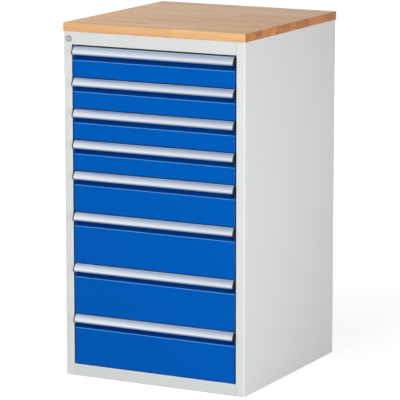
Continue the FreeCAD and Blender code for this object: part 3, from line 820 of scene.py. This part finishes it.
# ---- Drawer fronts ----
def make_front(node):
    """A folded front: a flat face, a rounded ledge, a finger recess closed by a cheek at each end,
    and an open back with returns, the left one notched."""
    corner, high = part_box(node)
    low = corner.copy()
    low.x, high.x = corner.x + FRONT_TRIM, high.x - FRONT_TRIM
    ledge = high.z - LEDGE_DROP
    start_line((low.x, high.y, low.z))
    line_to(low.y - high.y, 0)
    line_to(0, ledge - low.z)
    line_to(RECESS_DEPTH, LEDGE_SLOPE)
    line_to(0, high.z - ledge - LEDGE_SLOPE)
    line_to(high.y - low.y - RECESS_DEPTH, 0)
    close_line()
    draw_out(high.x - low.x)
    outward()
    pick("EDGE", lambda co: near(co.y, low.y) and near(co.z, low.z))
    round_edges(FACE_BEND, steps=4)
    pick("EDGE", lambda co: near(co.y, low.y) and near(co.z, ledge))
    round_edges(LEDGE_BEND, LEDGE_BEND_STEPS)
    pick("EDGE", lambda co: near(co.y, low.y + RECESS_DEPTH) and near(co.z, ledge + LEDGE_SLOPE))
    round_edges(RECESS_BEND, steps=3)
    pick("FACE", lambda co: near(co.y, high.y))
    bpy.ops.mesh.inset(thickness=BACK_RETURN, depth=0)
    bpy.ops.mesh.delete(type="FACE")
    leave_edit_mode()
    soften_edges(EDGE_BEND, steps=3, degrees=50)
    give_wall(SHEET)
    shell = bpy.context.object
    cut_lug_notch(shell, corner, high.y)
    cheeks = [make_cheek(x, low.y, ledge, high.z) for x in (low.x, high.x - SHEET)]
    take(shell)
    for cheek in cheeks:
        cheek.select_set(True)
    bpy.ops.object.join()
    front = finished(FRONT_PAINT)
    apply_modifier("WEIGHTED_NORMAL", keep_sharp=True)
    return front


def cut_lug_notch(shell, corner, rear_y):
    """Cut the L-shaped notch in the left return, where the lock bar's lug goes in and rises.
    `corner` is the low left corner of the CAD node's face, and the cutter starts outside it."""
    slot_depth = rear_y - corner.y - NOTCH_DEPTH + SHEET
    start_line((corner.x - SHEET, corner.y + NOTCH_DEPTH, corner.z + NOTCH_FOOT))
    line_to(slot_depth, 0)
    line_to(0, NOTCH_SLOT_HEIGHT)
    line_to(NOTCH_POCKET_DEPTH - slot_depth, 0)
    line_to(0, NOTCH_POCKET_HEIGHT - NOTCH_SLOT_HEIGHT)
    line_to(-NOTCH_POCKET_DEPTH, 0)
    close_line()
    draw_out(SHEET + NOTCH_REACH)
    outward()
    cutter = bpy.context.object
    take(shell)
    apply_modifier("BOOLEAN", operation="DIFFERENCE", solver="MANIFOLD", object=cutter)
    take(cutter)
    bpy.ops.object.delete()


def make_cheek(x, front_y, ledge, top):
    """The plate that closes one end of the finger recess, up to the heel of the end cap."""
    start_line((x, front_y, ledge))
    line_to(RECESS_DEPTH, 0)
    line_to(0, top - CHEEK_REAR_DROP - ledge)
    line_to(-RECESS_DEPTH, CHEEK_REAR_DROP - CHEEK_FRONT_DROP)
    close_line()
    draw_out(SHEET)
    outward()
    pick("EDGE", lambda co: near(co.y, front_y) and near(co.z, ledge))
    round_edges(LEDGE_BEND, LEDGE_BEND_STEPS)
    outward()
    leave_edit_mode()
    return bpy.context.object


# ---- All pieces ----
# What each drawer gets: the ends of the piece's name and its node's name, the slot, and what makes it.
DRAWER_PARTS = (
    ("_panel", "_front", "front_blue", make_front),
    ("_grip", "_handle", "handle_aluminium", make_handle),
    ("_end_caps", "_handle_caps", "cap_black", make_end_caps),
)


def make_pieces():
    """Model the worktop, and each drawer's front, grip and caps. Pieces of one kind and height
    are modelled once and copied, and all are handed over when the last copy is made."""
    ready = [(make_worktop("worktop"), "beech_board", "cabinet", "beech", "worktop")]
    models = {}
    for number in DRAWERS:
        drawer = "drawer_%d" % number
        for name_end, node_end, slot, make in DRAWER_PARTS:
            node = drawer + node_end
            low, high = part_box(node)
            kind = name_end, round((high.z - low.z) / MM, 1)
            if kind in models:
                model, model_top = models[kind]
                piece = copied(model, (0, 0, high.z - model_top))
            else:
                piece = make(node)
                models[kind] = piece, high.z
            ready.append((piece, drawer + name_end, drawer, slot, node))
    for row in ready:
        hand_over(*row)


# ---- Floor, light and camera ----
def seen_rays(finish):
    """1 for the rays in which the background shows: to the camera, off gloss and through glass."""
    names = ("Is Camera Ray", "Is Glossy Ray", "Is Transmission Ray")
    camera, glossy, through = [finish.node("ShaderNodeLightPath", output=name) for name in names]
    return camera.most(glossy).most(through)


def make_floor():
    """A pale floor that takes the cabinet's shadow, and glows white to the camera further off."""
    begin()
    bpy.ops.mesh.primitive_plane_add(size=FLOOR_SIZE, location=(0, 0, 0))
    floor = bpy.context.object
    floor.name = "studio_floor"
    material, finish = new_material("floor_white")
    x, y, _ = finish.axes(finish.place())
    distance = (x * x + y * y) ** 0.5
    glow_level = finish.spread(distance, FLOOR_GLOW_START, FLOOR_GLOW_END, FLOOR_GLOW, 1.0)
    matte = finish.node("ShaderNodeBsdfDiffuse", {}, {"Color": FLOOR_GREY})
    pale = finish.node("ShaderNodeBsdfDiffuse", {}, {"Color": FLOOR_SEEN_GREY})
    glow_colour = finish.shade((1, 1, 1), glow_level)
    glow = finish.node("ShaderNodeEmission", {}, {"Color": glow_colour, "Strength": 1.0})
    bright = finish.node("ShaderNodeAddShader", {}, {0: pale, 1: glow})
    shader = finish.node("ShaderNodeMixShader", {}, {0: seen_rays(finish), 1: matte, 2: bright})
    finish.node_output(shader)
    floor.data.materials.append(material)


def make_world():
    """White at the horizon and a cooler grey overhead."""
    world = bpy.data.worlds.new("studio")
    world.use_nodes = True
    bpy.context.scene.world = world
    sky = Finish(world.node_tree)
    height = sky.axes(sky.node("ShaderNodeTexCoord", output="Generated"))[2]
    backdrop = sky.ramp(height, *SKY_STOPS)
    strength = sky.spread(seen_rays(sky), 0, 1, SKY_LEVEL, 1)
    shader = sky.node("ShaderNodeBackground", {}, {"Color": backdrop, "Strength": strength})
    sky.node_output(shader, "ShaderNodeOutputWorld")


def soft_lamp(name, azimuth, elevation, distance, width, height, level):
    """A softbox that looks at the cabinet and doesn't show in its gloss. Azimuth 0 is in front
    and 90 on the right. Its level is the brightness of a white card that faces it."""
    lamp = bpy.data.lights.new(name, "AREA")
    lamp.shape = "RECTANGLE"
    lamp.size = width
    lamp.size_y = height
    lamp.energy = level * (math.pi * distance) ** 2
    turn, rise = math.radians(azimuth), math.radians(elevation)
    away = Vector((math.sin(turn) * math.cos(rise), -math.cos(turn) * math.cos(rise), math.sin(rise)))
    holder = bpy.data.objects.new(name, lamp)
    holder.location = LAMPS_AIM + away * distance
    holder.rotation_euler = away.to_track_quat("Z", "Y").to_euler()
    holder.visible_glossy = False
    bpy.context.scene.collection.objects.link(holder)


def make_lamps():
    """The main softbox high in front, a weak one beside it, and a low one to each side and behind."""
    soft_lamp("lamp_key", azimuth=-8, elevation=35, distance=9.0, width=4.4, height=3.6, level=0.765)
    soft_lamp("lamp_fill", azimuth=-52, elevation=36, distance=3.2, width=1.2, height=1.2, level=0.09)
    soft_lamp("lamp_side", azimuth=68, elevation=1, distance=2.5, width=1.4, height=1.3, level=0.652)
    soft_lamp("lamp_left", azimuth=-97, elevation=3, distance=6.0, width=3.0, height=3.0, level=0.54)
    soft_lamp("lamp_back", azimuth=178, elevation=3, distance=6.0, width=3.0, height=3.0, level=0.61)


def make_camera():
    """A long lens in front of the cabinet, to its right and a little above it."""
    lens = bpy.data.cameras.new("camera")
    lens.sensor_width = CAMERA_SENSOR
    lens.lens = CAMERA_LENS
    lens.clip_end = CAMERA_REACH
    camera = bpy.data.objects.new("camera", lens)
    camera.location = CAMERA_PLACE
    camera.rotation_euler = (CAMERA_TILT, 0, CAMERA_TURN)
    bpy.context.scene.collection.objects.link(camera)
    bpy.context.scene.camera = camera


dress_cad_nodes()
make_pieces()
make_floor()
make_world()
make_lamps()
make_camera()
bpy.context.scene.view_settings.view_transform = "Standard"
